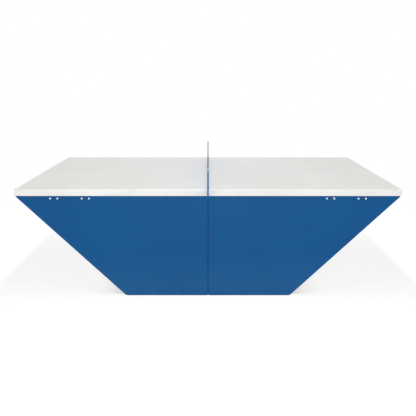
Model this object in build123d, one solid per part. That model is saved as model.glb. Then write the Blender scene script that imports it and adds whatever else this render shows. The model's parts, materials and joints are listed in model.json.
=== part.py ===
from build123d import *
import os

# An outdoor ping pong table, in millimetres.
# The origin is on the floor under the middle of the net, with +X along the length and +Z up.
# The long side at -Y is the front. The two halves are mirror images and are bolted together under the net.

# Overall sizes
TABLE_LENGTH = 2740
TABLE_WIDTH = 1525
TABLE_HEIGHT = 760
BASE_LENGTH = 1160  # along the floor
NET_HEIGHT = 152.5  # above the playing surface
NET_OVERHANG = 50  # past each long edge of the top

# Top
TOP_THICK = 48
TOP_SKIN = 6
TOP_CORNER_RADIUS = 15  # in plan
TOP_EDGE_RADIUS = 12
TOP_LOWER_RADIUS = 3
SLOT_EDGE_RADIUS = 1  # along the edge beside the net
BEDDING_THICK = 2

# Folded sheet
SHEET = 3.2
BEND_INSIDE = 1
BEND_GAP = 0.5  # kept between a bend and the piece beside it

# Base panels
PANEL_SETBACK = 12.5  # in from the long edge of the top
PANEL_END_SETBACK = 2  # in from the end of the top
PANEL_FLANGE = 50
FOOT_CORNER_RADIUS = 40
SEAM_CORNER_RADIUS = 5
STRIP_MARGIN = 5  # between a bedding strip and the edges of what it lies on

# Channels, used as cross beams and as floor ties
CHANNEL_WIDTH = 90
CHANNEL_DEPTH = 40
TAB_DEPTH = 30
TAB_SIDE_GAP = 1
TAB_HOLE_DROP = 15  # below the channel's back
TAB_HOLE_PITCH = 52
BEAMS_FROM_END = {"inner": 503, "outer": 280}
TIE_FROM_FOOT_END = 180

# Bulkheads
BULKHEAD_FLANGE = 60
BULKHEAD_SCREW_OFFSET = 36  # from the bulkhead's face

# Net
NET_THICK = 8
NET_CLEAR = 0.5  # on each side, in the slot
NET_DROP = 12  # below the underside of the top
NET_CORNER_RADIUS = 10
NET_FOOT_RADIUS = 5
NET_EDGE_RADIUS = 1
NET_SEAT_GAP = 0.3
NET_HOLE = 22
NET_HOLE_PITCH = 44
NET_HOLE_ROWS = 3
NET_HOLE_MARGIN = 24  # of plain plate above and below the holes
BUSH_DIAMETER = 20

# Fasteners, all of one thread
BOLT = 8
BOLT_CLEAR = 0.5  # around a bolt in a plain hole
THREAD_CLEAR = 0.15  # around a bolt in a thread
FIT_CLEAR = 0.1  # around an insert in its hole
HEX_ACROSS = 1.625 * BOLT
HEX_HEAD = 0.66 * BOLT
NUT_HEIGHT = 0.8 * BOLT
WASHER_DIAMETER = 2 * BOLT
WASHER_THICK = 1.6
BUTTON_DIAMETER = 1.75 * BOLT
BUTTON_HEIGHT = 0.55 * BOLT
BUTTON_ROUND = 0.45 * BOLT
SOCKET_ACROSS = 0.625 * BOLT
SOCKET_DEPTH = 0.32 * BOLT
BOLT_TAIL = 2.5  # past the nut
SCREW_GRIP = 20  # in the insert
INSERT_DIAMETER = 14
INSERT_LENGTH = 25
INSERT_TIP_ROOM = 1
ANCHOR_HOLE = 14
ANCHOR_FROM_MIDDLE = 150
ANCHOR_FROM_FOOT_END = 100
SEAM_BOLTS = 3
SEAM_BOLT_MARGIN = 120  # from the floor and from the top of the panels
GASKET_SETBACK = 10  # behind the panels' faces
NET_BOLTS = 4
NET_BOLT_MARGIN = 150  # from the panels
TOP_SCREWS = 3
TOP_SCREW_MARGIN = 250  # from the panels

# Folds worked out from the sizes above
BEND_OUTSIDE = SHEET + BEND_INSIDE
FOLD_CORNER_RADIUS = BEND_OUTSIDE + BEND_GAP  # the tightest corner that a folded edge can follow

# Heights
TOP_BOTTOM = TABLE_HEIGHT - TOP_THICK
PANEL_TOP = TOP_BOTTOM - BEDDING_THICK
FRAME_TOP = PANEL_TOP - SHEET
TIE_TOP = SHEET + CHANNEL_DEPTH
NET_BOTTOM = TOP_BOTTOM - NET_DROP
NET_TOP = TABLE_HEIGHT + NET_HEIGHT
NOTCH_BOTTOM = NET_BOTTOM - NET_CLEAR
NET_BOLT_Z = NET_BOTTOM - NET_SEAT_GAP - BUSH_DIAMETER / 2
BULKHEAD_BOTTOM = SEAM_CORNER_RADIUS

# Places along the length and across it
SLOT = NET_THICK + 2 * NET_CLEAR
SEAM = SLOT - 2 * SHEET
BULKHEAD_BACK = SLOT / 2 + SHEET
TABLE_END = TABLE_LENGTH / 2
FOOT_END = BASE_LENGTH / 2
PANEL_TIP = TABLE_END - PANEL_END_SETBACK
PANEL_Y = TABLE_WIDTH / 2 - PANEL_SETBACK
PANEL_INSIDE = PANEL_Y - SHEET
FLANGE_EDGE = PANEL_Y - PANEL_FLANGE
FLANGE_MIDDLE = PANEL_Y - PANEL_FLANGE / 2
BEHIND_TAB = SHEET - PANEL_INSIDE
BULKHEAD_END = PANEL_INSIDE - BEND_INSIDE - BEND_GAP
BEAM_X = {name: TABLE_END - reach for name, reach in BEAMS_FROM_END.items()}
TIE_X = FOOT_END - TIE_FROM_FOOT_END
ANCHOR_X = (ANCHOR_FROM_MIDDLE, FOOT_END - ANCHOR_FROM_FOOT_END)
BULKHEAD_SCREW_X = SLOT / 2 + BULKHEAD_SCREW_OFFSET
PLAIN_HOLE = BOLT + 2 * BOLT_CLEAR

STANDING = (Align.CENTER, Align.CENTER, Align.MIN)
PARTS = {}


def spread(low, high, count):
    """Evenly spaced values from low to high."""
    step = (high - low) / (count - 1)
    return [low + step * index for index in range(count)]


SEAM_BOLT_Z = spread(SEAM_BOLT_MARGIN, PANEL_TOP - SEAM_BOLT_MARGIN, SEAM_BOLTS)
SEAM_BOLT_PLACES = [(y, z) for y in (-FLANGE_MIDDLE, FLANGE_MIDDLE) for z in SEAM_BOLT_Z]
NET_BOLT_Y = spread(NET_BOLT_MARGIN - PANEL_Y, PANEL_Y - NET_BOLT_MARGIN, NET_BOLTS)
NET_BOLT_PLACES = [(y, NET_BOLT_Z) for y in NET_BOLT_Y]
TOP_SCREW_Y = spread(TOP_SCREW_MARGIN - PANEL_Y, PANEL_Y - TOP_SCREW_MARGIN, TOP_SCREWS)


# Shapes that many pieces share


def block(x, y, z):
    """A box between two values on each axis."""
    corner = Pos(x[0], y[0], z[0])
    return corner * Box(x[1] - x[0], y[1] - y[0], z[1] - z[0], align=(Align.MIN,) * 3)


def bar(point, axis, diameter, length):
    """A round bar that starts at a point and runs along an axis."""
    return Plane(point, z_dir=axis) * Cylinder(diameter / 2, length, align=STANDING)


def hole(point, axis, diameter, depth):
    """A round cutter through a wall of the given depth, with room before and behind."""
    start = Vector(*point) - Vector(*axis) * depth
    return bar(start, axis, diameter, 3 * depth)


def rounded_face(corners):
    """A flat outline through (x, y, radius) corners."""
    face = make_face(Polyline([(x, y) for x, y, _ in corners], close=True))
    for x, y, radius in corners:
        corner = face.vertices().sort_by_distance((x, y, 0))[0]
        face = fillet(corner, radius)
    return face


def tab_holes(middle):
    """Where the two holes of a channel's tab lie along the length."""
    return [middle - TAB_HOLE_PITCH / 2, middle + TAB_HOLE_PITCH / 2]


def folded_section(back, leg):
    """The section of a folded channel: its back is centred on the X axis and its legs hang down."""
    outside = Pos(0, -leg / 2) * Rectangle(back, leg)
    outside = fillet(outside.vertices().group_by(Axis.Y)[-1], BEND_OUTSIDE)
    inside = Pos(0, -SHEET - leg / 2) * Rectangle(back - 2 * SHEET, leg)
    inside = fillet(inside.vertices().group_by(Axis.Y)[-1], BEND_INSIDE)
    return outside - inside


def mirrored(shapes, plane):
    return [mirror(shape, about=plane) for shape in shapes]


def keep(name, shapes):
    PARTS[name] = Compound(shapes) if len(shapes) > 1 else shapes[0]


def keep_both_halves(name, shapes):
    """Keeps the right half's pieces and their mirror images in the left half."""
    keep(name.format("right"), shapes)
    keep(name.format("left"), mirrored(shapes, Plane.YZ))


def front_and_rear(shapes):
    return shapes + mirrored(shapes, Plane.XZ)


# Fasteners


def hex_prism(height):
    return extrude(RegularPolygon(HEX_ACROSS / 2, 6, major_radius=False), height)


def hex_bolt(seat, axis, length):
    """A bolt whose head sits on the seat and whose shank runs along the axis."""
    shank = Cylinder(BOLT / 2, length, align=STANDING)
    head = Pos(0, 0, -HEX_HEAD) * hex_prism(HEX_HEAD)
    return Plane(seat, z_dir=axis) * (shank + head)


def button_bolt(seat, axis, length):
    """A bolt with a low round head and a six-sided socket."""
    head = Cylinder(BUTTON_DIAMETER / 2, BUTTON_HEIGHT, align=STANDING)
    head = fillet(head.edges().group_by(Axis.Z)[-1], BUTTON_ROUND)
    socket = extrude(RegularPolygon(SOCKET_ACROSS / 2, 6, major_radius=False), SOCKET_DEPTH)
    head -= Pos(0, 0, BUTTON_HEIGHT - SOCKET_DEPTH) * socket
    shank = Pos(0, 0, -length) * Cylinder(BOLT / 2, length, align=STANDING)
    return Plane(seat, z_dir=-Vector(*axis)) * (head + shank)


def washer(seat, axis):
    ring = Cylinder(WASHER_DIAMETER / 2, WASHER_THICK, align=STANDING)
    ring -= Cylinder(BOLT / 2 + BOLT_CLEAR, WASHER_THICK, align=STANDING)
    return Plane(seat, z_dir=axis) * ring


def nut(seat, axis):
    body = hex_prism(NUT_HEIGHT) - Cylinder(BOLT / 2 + THREAD_CLEAR, NUT_HEIGHT, align=STANDING)
    return Plane(seat, z_dir=axis) * body


def through_bolts(name, points):
    """Bolts along X through both bulkheads, with a washer under each head and each nut."""
    left = -BULKHEAD_BACK - WASHER_THICK
    right = BULKHEAD_BACK + WASHER_THICK
    length = right - left + NUT_HEIGHT + BOLT_TAIL
    keep(f"{name}_bolts", [hex_bolt((left, y, z), (1, 0, 0), length) for y, z in points])
    keep(f"{name}_nuts", [nut((right, y, z), (1, 0, 0)) for y, z in points])
    sides = (left, BULKHEAD_BACK)
    keep(f"{name}_washers", [washer((x, y, z), (1, 0, 0)) for y, z in points for x in sides])


# Top: a moulded shell, the core board bonded into it and its threaded inserts


def half_slab(inset):
    """The right half of the top, drawn in by the inset on every side but the underside."""
    slab = block(
        (SLOT / 2 + inset, TABLE_END - inset),
        (inset - TABLE_WIDTH / 2, TABLE_WIDTH / 2 - inset),
        (TOP_BOTTOM, TABLE_HEIGHT - inset),
    )
    slab = fillet(slab.edges().filter_by(Axis.Z).group_by(Axis.X)[-1], TOP_CORNER_RADIUS - inset)
    upper = slab.edges().group_by(Axis.Z)[-1]
    return fillet(upper.sort_by(Axis.X)[1:], TOP_EDGE_RADIUS - inset)


def top_shell():
    slab = half_slab(0)
    lower = slab.edges().group_by(Axis.Z)[0]
    slab = fillet(lower.sort_by(Axis.X)[1:], TOP_LOWER_RADIUS)
    beside_net = slab.faces().sort_by(Axis.Z)[-1].edges().sort_by(Axis.X)[0]
    slab = fillet(beside_net, SLOT_EDGE_RADIUS)
    return slab - half_slab(TOP_SKIN)


def top_screw_places():
    columns = [BULKHEAD_SCREW_X, *BEAM_X.values()]
    return [(x, y) for x in columns for y in TOP_SCREW_Y]


def core_board():
    board = half_slab(TOP_SKIN)
    for x, y in top_screw_places():
        pocket_depth = INSERT_LENGTH + INSERT_TIP_ROOM
        board -= bar((x, y, TOP_BOTTOM), (0, 0, 1), INSERT_DIAMETER + 2 * FIT_CLEAR, pocket_depth)
    return board


def insert(x, y):
    body = bar((x, y, TOP_BOTTOM), (0, 0, 1), INSERT_DIAMETER, INSERT_LENGTH)
    return body - hole((x, y, TOP_BOTTOM), (0, 0, 1), BOLT + 2 * THREAD_CLEAR, INSERT_LENGTH)


def top_screw(x, y):
    seat = FRAME_TOP - SHEET - WASHER_THICK
    return hex_bolt((x, y, seat), (0, 0, 1), TOP_BOTTOM + SCREW_GRIP - seat)


def top_washer(x, y):
    return washer((x, y, FRAME_TOP - SHEET), (0, 0, -1))


# Base panels: folded trays, open towards the inside


def panel():
    """The front panel of the right half."""
    outline = rounded_face(
        [
            (SEAM / 2, 0, SEAM_CORNER_RADIUS),
            (FOOT_END, 0, FOOT_CORNER_RADIUS),
            (PANEL_TIP, PANEL_TOP, FOLD_CORNER_RADIUS),
            (SEAM / 2, PANEL_TOP, FOLD_CORNER_RADIUS),
        ]
    )
    tray = extrude(Plane.XZ.offset(PANEL_Y) * outline, -PANEL_FLANGE)
    tray = fillet(tray.faces().sort_by(Axis.Y)[0].edges(), BEND_OUTSIDE)
    hollow = extrude(Plane.XZ.offset(PANEL_INSIDE) * offset(outline, -SHEET), -PANEL_FLANGE)
    hollow = fillet(hollow.faces().sort_by(Axis.Y)[0].edges(), BEND_INSIDE)
    tray -= hollow
    tray -= block((0, SLOT / 2), (-PANEL_Y, -FLANGE_EDGE), (NOTCH_BOTTOM, PANEL_TOP))
    for beam in BEAM_X.values():
        for x in tab_holes(beam):
            tray -= hole((x, -PANEL_Y, FRAME_TOP - TAB_HOLE_DROP), (0, 1, 0), PLAIN_HOLE, SHEET)
    for x in ANCHOR_X:
        tray -= hole((x, -FLANGE_MIDDLE, 0), (0, 0, 1), ANCHOR_HOLE, SHEET)
    for z in SEAM_BOLT_Z:
        tray -= hole((SEAM / 2, -FLANGE_MIDDLE, z), (1, 0, 0), PLAIN_HOLE, SHEET)
    return tray


def bedding_strip():
    """The bedding strip on the upper flange of the front panel of the right half."""
    return block(
        (SLOT / 2 + STRIP_MARGIN, PANEL_TIP - PANEL_FLANGE),
        (STRIP_MARGIN - PANEL_Y, -STRIP_MARGIN - FLANGE_EDGE),
        (PANEL_TOP, TOP_BOTTOM),
    )


def panel_fixings():
    """The bolts, washers and nuts of one panel and its cross beams, from outside to inside."""
    places = [(x, FRAME_TOP - TAB_HOLE_DROP) for beam in BEAM_X.values() for x in tab_holes(beam)]
    length = 2 * SHEET + WASHER_THICK + NUT_HEIGHT + BOLT_TAIL
    return {
        "panel_bolts": [button_bolt((x, -PANEL_Y, z), (0, 1, 0), length) for x, z in places],
        "panel_washers": [washer((x, BEHIND_TAB, z), (0, 1, 0)) for x, z in places],
        "panel_nuts": [nut((x, BEHIND_TAB + WASHER_THICK, z), (0, 1, 0)) for x, z in places],
    }


# Channels: cross beams under the top and ties near the floor


def channel(x, top, screw_holes):
    """A channel from the front panel to the rear one, with a tab folded down at each end."""
    back_end = PANEL_INSIDE
    leg_end = PANEL_INSIDE - BEND_OUTSIDE
    section = Plane.XZ.offset(leg_end) * folded_section(CHANNEL_WIDTH, CHANNEL_DEPTH)
    body = extrude(section, -2 * leg_end)
    half_tab = CHANNEL_WIDTH / 2 - BEND_OUTSIDE - TAB_SIDE_GAP
    strip = block((-half_tab, half_tab), (-back_end, back_end), (-TAB_DEPTH, 0))
    strip = fillet(strip.edges().filter_by(Axis.X).group_by(Axis.Z)[-1], BEND_OUTSIDE)
    under = block((-half_tab, half_tab), (SHEET - back_end, back_end - SHEET), (-TAB_DEPTH, -SHEET))
    under = fillet(under.edges().filter_by(Axis.X).group_by(Axis.Z)[-1], BEND_INSIDE)
    body += strip - under
    for tab_x in tab_holes(0):
        body -= hole((tab_x, -back_end, -TAB_HOLE_DROP), (0, 1, 0), PLAIN_HOLE, 2 * back_end)
    for y in screw_holes:
        body -= hole((0, y, -SHEET), (0, 0, 1), PLAIN_HOLE, SHEET)
    return Pos(x, 0, top) * body


def pad(x, y):
    """A pad under the top, level with the bedding strips, with its screw holes."""
    slab = block(x, y, (FRAME_TOP, TOP_BOTTOM))
    middle = (x[0] + x[1]) / 2
    for screw_y in TOP_SCREW_Y:
        slab -= hole((middle, screw_y, FRAME_TOP), (0, 0, 1), PLAIN_HOLE, TOP_BOTTOM - FRAME_TOP)
    return slab


def beam_pad(x):
    half = CHANNEL_WIDTH / 2 - STRIP_MARGIN
    reach = FLANGE_EDGE - STRIP_MARGIN
    return pad((x - half, x + half), (-reach, reach))


def tie_fixings():
    """The studs welded inside the front panel for a floor tie, with their washers and nuts."""
    places = [(x, TIE_TOP - TAB_HOLE_DROP) for x in tab_holes(TIE_X)]
    length = SHEET + WASHER_THICK + NUT_HEIGHT + BOLT_TAIL
    return {
        "tie_studs": [bar((x, -PANEL_INSIDE, z), (0, 1, 0), BOLT, length) for x, z in places],
        "tie_washers": [washer((x, BEHIND_TAB, z), (0, 1, 0)) for x, z in places],
        "tie_nuts": [nut((x, BEHIND_TAB + WASHER_THICK, z), (0, 1, 0)) for x, z in places],
    }


# Bulkheads, the joint between the halves and what the net stands on


def bulkhead():
    """The folded wall at the inner end of the right half."""
    height = FRAME_TOP - BULKHEAD_BOTTOM
    section = Rot(0, 0, 90) * folded_section(height, BULKHEAD_FLANGE)
    section = Pos(SLOT / 2, BULKHEAD_BOTTOM + height / 2) * section
    wall = extrude(Plane.XZ.offset(BULKHEAD_END) * section, -2 * BULKHEAD_END)
    for y, z in SEAM_BOLT_PLACES + NET_BOLT_PLACES:
        wall -= hole((SLOT / 2, y, z), (1, 0, 0), PLAIN_HOLE, SHEET)
    for y in TOP_SCREW_Y:
        wall -= hole((BULKHEAD_SCREW_X, y, FRAME_TOP - SHEET), (0, 0, 1), PLAIN_HOLE, SHEET)
    return wall


def bulkhead_pad():
    half = BULKHEAD_FLANGE + SLOT / 2 - STRIP_MARGIN - BULKHEAD_SCREW_X
    reach = FLANGE_EDGE - STRIP_MARGIN
    return pad((BULKHEAD_SCREW_X - half, BULKHEAD_SCREW_X + half), (-reach, reach))


def seam_gasket():
    strip = block(
        (-SEAM / 2, SEAM / 2),
        (GASKET_SETBACK - PANEL_Y, -FLANGE_EDGE),
        (SEAM_CORNER_RADIUS, NOTCH_BOTTOM),
    )
    for z in SEAM_BOLT_Z:
        strip -= hole((-SEAM / 2, -FLANGE_MIDDLE, z), (1, 0, 0), PLAIN_HOLE, SEAM)
    return strip


def net_bush(y, z):
    place = (-SLOT / 2, y, z)
    body = bar(place, (1, 0, 0), BUSH_DIAMETER, SLOT)
    return body - hole(place, (1, 0, 0), PLAIN_HOLE, SLOT)


# Net: one plate, pierced above the playing surface


def net_hole_places():
    """Rows of holes, with every second row moved along by half a pitch."""
    margin = NET_HOLE_MARGIN + NET_HOLE / 2
    rows = spread(TABLE_HEIGHT + margin, NET_TOP - margin, NET_HOLE_ROWS)
    half_count = int((TABLE_WIDTH / 2 - NET_HOLE_PITCH) / NET_HOLE_PITCH)
    places = []
    for index, z in enumerate(rows):
        shift = (index % 2) / 2
        for step in range(-half_count, half_count + 1 - index % 2):
            places.append(((step + shift) * NET_HOLE_PITCH, z))
    return places


def net_plate():
    reach = TABLE_WIDTH / 2 + NET_OVERHANG
    outline = rounded_face(
        [
            (-reach, NET_BOTTOM, NET_FOOT_RADIUS),
            (reach, NET_BOTTOM, NET_FOOT_RADIUS),
            (reach, NET_TOP, NET_CORNER_RADIUS),
            (-reach, NET_TOP, NET_CORNER_RADIUS),
        ]
    )
    plate = extrude(Plane.YZ.offset(-NET_THICK / 2) * outline, NET_THICK)
    rims = plate.faces().sort_by(Axis.X)
    plate = fillet(rims[0].edges() + rims[-1].edges(), NET_EDGE_RADIUS)
    cutters = [bar((-NET_THICK, y, z), (1, 0, 0), NET_HOLE, 2 * NET_THICK) for y, z in net_hole_places()]
    return plate - cutters


# The assembly

keep_both_halves("top_{}", [top_shell()])
keep_both_halves("core_{}", [core_board()])
keep_both_halves("top_inserts_{}", [insert(x, y) for x, y in top_screw_places()])
keep_both_halves("top_screws_{}", [top_screw(x, y) for x, y in top_screw_places()])
keep_both_halves("top_washers_{}", [top_washer(x, y) for x, y in top_screw_places()])

for name, shape in (("panel", panel()), ("bedding_strip", bedding_strip())):
    keep_both_halves(name + "_front_{}", [shape])
    keep_both_halves(name + "_rear_{}", mirrored([shape], Plane.XZ))
for name, shapes in panel_fixings().items():
    keep_both_halves(name + "_{}", front_and_rear(shapes))

for name, x in BEAM_X.items():
    keep_both_halves("beam_" + name + "_{}", [channel(x, FRAME_TOP, TOP_SCREW_Y)])
    keep_both_halves("beam_pad_" + name + "_{}", [beam_pad(x)])
keep_both_halves("floor_tie_{}", [channel(TIE_X, TIE_TOP, [])])
for name, shapes in tie_fixings().items():
    keep_both_halves(name + "_{}", front_and_rear(shapes))

keep_both_halves("bulkhead_{}", [bulkhead()])
keep_both_halves("bulkhead_pad_{}", [bulkhead_pad()])
keep("seam_gasket_front", [seam_gasket()])
keep("seam_gasket_rear", mirrored([seam_gasket()], Plane.XZ))
through_bolts("seam", SEAM_BOLT_PLACES)

keep("net_plate", [net_plate()])
keep("net_bushes", [net_bush(y, z) for y, z in NET_BOLT_PLACES])
through_bolts("net", NET_BOLT_PLACES)

os.makedirs("parts", exist_ok=True)
for name, shape in PARTS.items():
    export_step(shape, f"parts/{name}.step")
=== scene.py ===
# %% [markdown]
# # An outdoor ping pong table, finished in Blender
# The table has a thick white top in two halves, a base of folded blue sheet and a steel net that drops into
# the slot between the halves. The CAD model gives every size and place, so it is loaded first and is never
# moved. The folded sheet, the tops and the rubber keep their CAD shapes and get finishes made of nodes. The
# screws and the net get finer meshes, because there the CAD leaves out threads and rounded rims.

# %% Load the frame
import json
import math

import bmesh
import bpy
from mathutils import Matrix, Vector


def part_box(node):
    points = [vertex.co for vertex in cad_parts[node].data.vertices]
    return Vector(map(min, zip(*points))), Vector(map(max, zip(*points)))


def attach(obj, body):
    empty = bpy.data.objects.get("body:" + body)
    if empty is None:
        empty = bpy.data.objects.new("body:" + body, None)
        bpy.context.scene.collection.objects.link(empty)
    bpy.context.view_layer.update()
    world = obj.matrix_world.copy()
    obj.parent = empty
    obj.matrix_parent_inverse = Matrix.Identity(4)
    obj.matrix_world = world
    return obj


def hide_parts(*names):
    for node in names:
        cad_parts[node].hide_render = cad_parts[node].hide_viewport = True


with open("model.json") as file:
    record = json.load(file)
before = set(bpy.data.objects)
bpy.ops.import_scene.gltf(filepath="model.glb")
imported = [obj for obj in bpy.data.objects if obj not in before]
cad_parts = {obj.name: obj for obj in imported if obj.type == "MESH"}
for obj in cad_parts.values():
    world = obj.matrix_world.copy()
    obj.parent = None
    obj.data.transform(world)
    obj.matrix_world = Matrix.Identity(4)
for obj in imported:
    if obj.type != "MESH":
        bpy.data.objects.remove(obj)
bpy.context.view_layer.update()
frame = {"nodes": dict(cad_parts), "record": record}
nodes = frame["nodes"]
print("CAD nodes:", len(nodes))

# %% [markdown]
# ## Sizes that the finishes and the finer pieces need
# A worn edge or a paler foot can be placed by eye, but then it slides off when the CAD changes. Here each
# such place is measured from the boxes of the CAD nodes, so the patterns follow the table.

# %% Measure the table
_, top_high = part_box("top_right")
panel_low, panel_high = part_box("panel_front_right")
net_low, net_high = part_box("net_plate")
table_end = top_high.x
table_side = top_high.y
playing_height = top_high.z
panel_tip = panel_high.x
panel_top = panel_high.z
print("half length, half width, height:", [round(v, 4) for v in (table_end, table_side, playing_height)])

# %% [markdown]
# ## A short way to write node trees
# A material and a Geometry Nodes tree are both graphs: nodes, and links between their sockets. They can be
# wired by hand in the editor, one click at a time. In a script the same few lines come back for every node,
# so they are kept in one small class, and each finish below reads as a list of what it is made of.

# %% Graph helper
class Graph:
    """A node tree with short ways to add nodes and to feed their sockets."""

    def __init__(self, tree):
        self.tree = tree

    def feed(self, socket, value):
        if isinstance(value, bpy.types.NodeSocket):
            self.tree.links.new(value, socket)
        else:
            socket.default_value = value

    def node(self, kind, settings=(), **inputs):
        """Adds a node. Input names are written with _ for a space, and only sockets in use are looked at."""
        made = self.tree.nodes.new(kind)
        for label, value in dict(settings).items():
            setattr(made, label, value)
        for label, value in inputs.items():
            label = label.replace("_", " ")
            socket = next(each for each in made.inputs if each.name == label and each.enabled)
            self.feed(socket, value)
        return made

    def maths(self, operation, first, second=0.0):
        made = self.node("ShaderNodeMath", {"operation": operation})
        self.feed(made.inputs[0], first)
        self.feed(made.inputs[1], second)
        return made.outputs[0]

    def span(self, value, low, high, to_low=0.0, to_high=1.0):
        """A smooth step: low and below give to_low, high and above give to_high."""
        settings = {"interpolation_type": "SMOOTHSTEP"}
        ends = {"From_Min": low, "From_Max": high, "To_Min": to_low, "To_Max": to_high}
        return self.node("ShaderNodeMapRange", settings, Value=value, **ends).outputs[0]


print("graph helper ready")

# %% [markdown]
# ## What every finish shares
# Real surfaces are never one flat value. Paint is a little cloudy, rubbed at its edges and rippled at a
# scale of millimetres. Those patterns could come from photographs of paint, but procedural noise has no
# size limit and no seams. All of them read Object coordinates, which are metres on this table, so a size
# in the code is a real size. What is the same all over a surface is set on the shader's own socket.

# %% Finish helper
class Finish(Graph):
    """A material on the main shader, with patterns that are sized in metres."""

    def __init__(self, name, **fixed):
        self.material = bpy.data.materials.new(name)
        self.material.use_nodes = True
        super().__init__(self.material.node_tree)
        self.shader = self.tree.nodes["Principled BSDF"]
        self.place = self.node("ShaderNodeTexCoord").outputs["Object"]
        axes = self.node("ShaderNodeSeparateXYZ", Vector=self.place).outputs
        self.x, self.y, self.z = axes
        for label, value in fixed.items():
            self.shader.inputs[label.replace("_", " ")].default_value = value

    def noise(self, size, detail=2.0, stretch=(1, 1, 1)):
        """Cloudy values round 0.5 with patches of a size, drawn out along an axis by a stretch above 1."""
        shrink = [1 / (size * each) for each in stretch]
        place = self.node("ShaderNodeMapping", Vector=self.place, Scale=shrink).outputs[0]
        return self.node("ShaderNodeTexNoise", Vector=place, Scale=1.0, Detail=detail).outputs[0]

    def shade(self, amount, first, second):
        """A colour between two, by an amount from 0 to 1."""
        made = self.node("ShaderNodeMix", {"data_type": "RGBA"}, Factor=amount, A=first, B=second)
        return next(each for each in made.outputs if each.enabled)

    def relief(self, height, depth):
        """Bumps of a depth in metres, on top of those made before."""
        normal = self.shader.inputs["Normal"]
        made = self.node("ShaderNodeBump", Height=height, Distance=depth)
        if normal.is_linked:
            self.feed(made.inputs["Normal"], normal.links[0].from_socket)
        self.feed(normal, made.outputs[0])

    def paint(self, tone, roughness):
        self.feed(self.shader.inputs["Base Color"], tone)
        self.feed(self.shader.inputs["Roughness"], roughness)
        return self.material


def colour(red, green, blue):
    return (red, green, blue, 1.0)


print("finish helper ready")

# %% [markdown]
# ## White gelcoat
# The two tops are glass-fibre shells with a white gelcoat, which is the layer sprayed into the mould first.
# It is satin, very slightly cloudy, and has the faint ripple of the mould. Hands, bats and rain dull the
# outer few centimetres first. A plain white would do from far away, but the light would then slide over it
# with no sign of a surface, so the roughness carries most of the pattern and the colour only a little.

# %% Make the gelcoat
EDGE_DULL = 0.03  # how far in from the edge the top is duller
CLOUD_SIZE = 0.45
SMEAR_SIZE = 0.05
SMEAR_STRETCH = (3, 1, 1)
MOULD_RIPPLE = 0.12
MOULD_RIPPLE_DEPTH = 0.0001
SKIN_GRAIN = 0.004
SKIN_GRAIN_DEPTH = 0.00002
WHITE = colour(0.791, 0.785, 0.765)
WHITE_CLOUD = colour(0.821, 0.815, 0.795)
WHITE_DULLED = colour(0.766, 0.76, 0.735)

gelcoat = Finish("white_gelcoat", Specular_IOR_Level=0.3)
from_end = gelcoat.maths("SUBTRACT", table_end, gelcoat.maths("ABSOLUTE", gelcoat.x))
from_side = gelcoat.maths("SUBTRACT", table_side, gelcoat.maths("ABSOLUTE", gelcoat.y))
from_edge = gelcoat.maths("MINIMUM", from_end, from_side)
cloud = gelcoat.span(gelcoat.noise(CLOUD_SIZE, 3), 0.3, 0.7)
smear = gelcoat.span(gelcoat.noise(SMEAR_SIZE, 4, SMEAR_STRETCH), 0.45, 0.75)
dulled = gelcoat.maths("MULTIPLY", gelcoat.span(from_edge, EDGE_DULL, 0.0), smear)
white = gelcoat.shade(cloud, WHITE, WHITE_CLOUD)
white = gelcoat.shade(dulled, white, WHITE_DULLED)
satin = gelcoat.span(smear, 0.0, 1.0, 0.48, 0.56)
satin = gelcoat.maths("ADD", satin, gelcoat.maths("MULTIPLY", dulled, 0.1))
gelcoat.relief(gelcoat.noise(MOULD_RIPPLE, 1), MOULD_RIPPLE_DEPTH)
gelcoat.relief(gelcoat.noise(SKIN_GRAIN, 2), SKIN_GRAIN_DEPTH)
gelcoat.paint(white, satin)
print("made", gelcoat.material.name)

# %% [markdown]
# ## Blue powder coat
# The base is folded from steel sheet and powder coated. The powder melts into a skin with a fine ripple,
# called orange peel, and it is thinnest on sharp edges, so those are the first to look rubbed. Towards the
# floor the blue turns paler and duller, in patches. Edge wear is often made from the mesh's curvature, but
# these meshes are loose triangles and have none, so each kind of piece says how far a point is from its own
# worn edges, and the coat does the rest.

# %% Colours and sizes of the coat
BLUE = colour(0.0031, 0.077, 0.231)
BLUE_CLOUD = colour(0.0039, 0.083, 0.244)
BLUE_RUBBED = colour(0.03, 0.17, 0.40)
# the blue turns paler in patches towards the floor, below this height
PALE_BAND_BLUE = colour(0.09, 0.24, 0.46)
PALE_BAND_HEIGHT = 0.35
PALE_BAND_SHARE = 0.2  # how far the paler blue covers the blue at most
PALE_BAND_DULLS = 0.15
PALE_BAND_PATCH = 0.04
BLUE_CLOUD_SIZE = 0.5
RUB_PATCH = 0.025
RUB_STARTS = 0.006  # metres from a worn edge
RUB_FULL = 0.001
GLOSS_PATCH = 0.08
GLOSS_RANGE = 0.08
PEEL_SIZE = 0.003
PEEL_DEPTH = 0.00003


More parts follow.
